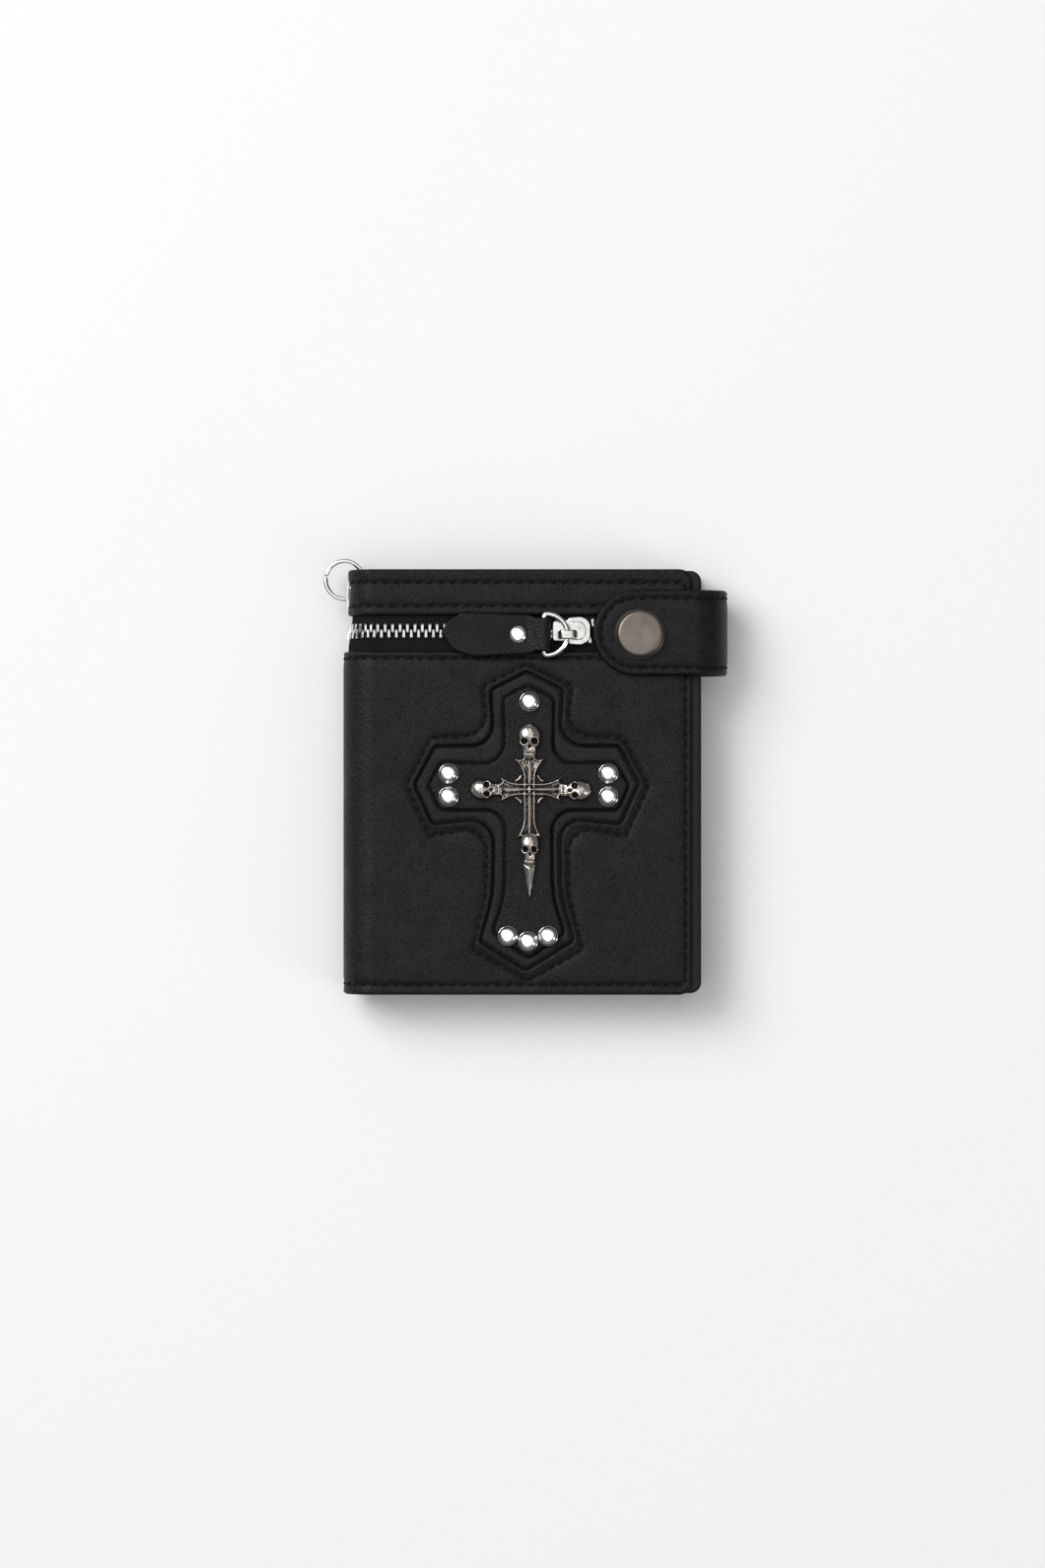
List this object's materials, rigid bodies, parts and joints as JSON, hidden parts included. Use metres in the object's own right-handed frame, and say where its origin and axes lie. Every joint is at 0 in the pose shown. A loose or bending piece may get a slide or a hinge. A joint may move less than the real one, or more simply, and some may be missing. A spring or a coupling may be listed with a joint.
{
  "type": "chain wallet",
  "caption": "Closed bifold leather wallet with an outside zip pocket, snap strap, chain ring and a studded cross inlay with a cast cross.",
  "frame": {"origin": "middle of the flat back face of the closed wallet, which lies on its back", "axes": "+X towards the free edge that the strap closes, +Y towards the zip edge, +Z out of the decorated front"},
  "size_m": [0.1128, 0.1214, 0.0231],
  "materials": {
    "cover_leather": "black grained cowhide, satin",
    "strap_leather": "black grained cowhide, satin",
    "inner_leather": "black smooth lining leather, matte",
    "cross_leather": "black smooth cowhide, satin",
    "pull_leather": "black smooth cowhide, satin",
    "zip_tape": "black ribbed woven tape",
    "pocket_cloth": "black woven lining cloth",
    "stiffener_board": "grey-brown fibre board",
    "clear_window": "clear flexible film",
    "zip_metal": "bright nickel",
    "ring_metal": "bright nickel",
    "stud_metal": "polished chrome",
    "snap_metal": "antique nickel, worn",
    "cross_metal": "antique gunmetal casting"
  },
  "bodies": {
    "back_half": {"back_leather": "cover_leather", "back_edge_welt": "cover_leather", "back_zip_tapes": "zip_tape", "back_teeth_upper": "zip_metal", "back_teeth_lower": "zip_metal", "back_bottom_stop": "zip_metal", "back_pocket_lining": "pocket_cloth", "back_board": "stiffener_board", "back_facing": "inner_leather", "card_pocket_low": "inner_leather", "card_pocket_mid": "inner_leather", "card_pocket_top": "inner_leather", "strap_tail": "strap_leather"},
    "spine": {"spine_leather": "cover_leather", "spine_zip_tapes": "zip_tape", "spine_teeth_upper": "zip_metal", "spine_teeth_lower": "zip_metal", "spine_facing": "inner_leather", "chain_eyelet": "ring_metal", "eyelet_washer": "ring_metal"},
    "chain_ring": {"chain_ring": "ring_metal"},
    "front_half": {"front_leather": "cover_leather", "front_edge_welt": "cover_leather", "front_zip_tapes": "zip_tape", "front_teeth_upper": "zip_metal", "front_teeth_lower": "zip_metal", "front_top_stops": "zip_metal", "front_pocket_lining": "pocket_cloth", "front_board": "stiffener_board", "front_facing": "inner_leather", "slip_pocket": "inner_leather", "id_pocket_frame": "inner_leather", "id_window": "clear_window", "cross_backing": "cross_leather", "cross_plate": "cross_leather", "cast_cross": "cross_metal", "dome_studs": "stud_metal", "snap_stud": "snap_metal"},
    "zip_slider": {"zip_slider": "zip_metal"},
    "pull_ring": {"pull_ring": "ring_metal"},
    "pull_tab": {"pull_tab": "pull_leather", "pull_tab_rivet": "stud_metal"},
    "strap_side": {"strap_side_leather": "strap_leather", "strap_side_lining": "strap_leather"},
    "strap_flap": {"strap_flap_leather": "strap_leather", "strap_flap_lining": "strap_leather", "snap_cap": "snap_metal", "snap_socket": "snap_metal"}
  },
  "joints": [
    {"name": "spine_fold", "type": "hinge", "parent": "back_half", "child": "spine", "pos_m": [-0.04807, 0, 0.00193], "axis": [0, -1, 0], "range_deg": [0, 90]},
    {"name": "cover_fold", "type": "hinge", "parent": "spine", "child": "front_half", "pos_m": [-0.04807, 0, 0.01607], "axis": [0, -1, 0], "range_deg": [0, 90]},
    {"name": "chain_ring_swing", "type": "hinge", "parent": "spine", "child": "chain_ring", "pos_m": [-0.0493, 0.0524, 0.009], "axis": [0, 1, 0], "range_deg": [-24, 24]},
    {"name": "zip_slide", "type": "slide", "parent": "front_half", "child": "zip_slider", "axis": [-1, 0, 0], "range_m": [0, 0.046], "deforming": ["front_teeth_upper", "front_teeth_lower"]},
    {"name": "pull_ring_swing", "type": "hinge", "parent": "zip_slider", "child": "pull_ring", "pos_m": [0.01245, 0.0408, 0.01985], "axis": [0, 1, 0], "range_deg": [0, 90]},
    {"name": "pull_tab_swing", "type": "hinge", "parent": "pull_ring", "child": "pull_tab", "pos_m": [0.006, 0.0408, 0.01985], "axis": [0, 1, 0], "range_deg": [0, 90]},
    {"name": "strap_bend_low", "type": "hinge", "parent": "back_half", "child": "strap_side", "pos_m": [0.05506, 0.04135, 0.00354], "axis": [0, 1, 0], "range_deg": [0, 70]},
    {"name": "strap_bend_high", "type": "hinge", "parent": "strap_side", "child": "strap_flap", "pos_m": [0.05506, 0.04135, 0.01846], "axis": [0, 1, 0], "range_deg": [0, 110]}
  ],
  "couplings": [
    {"joint": "cover_fold", "follows": "spine_fold", "ratio": 1}
  ]
}
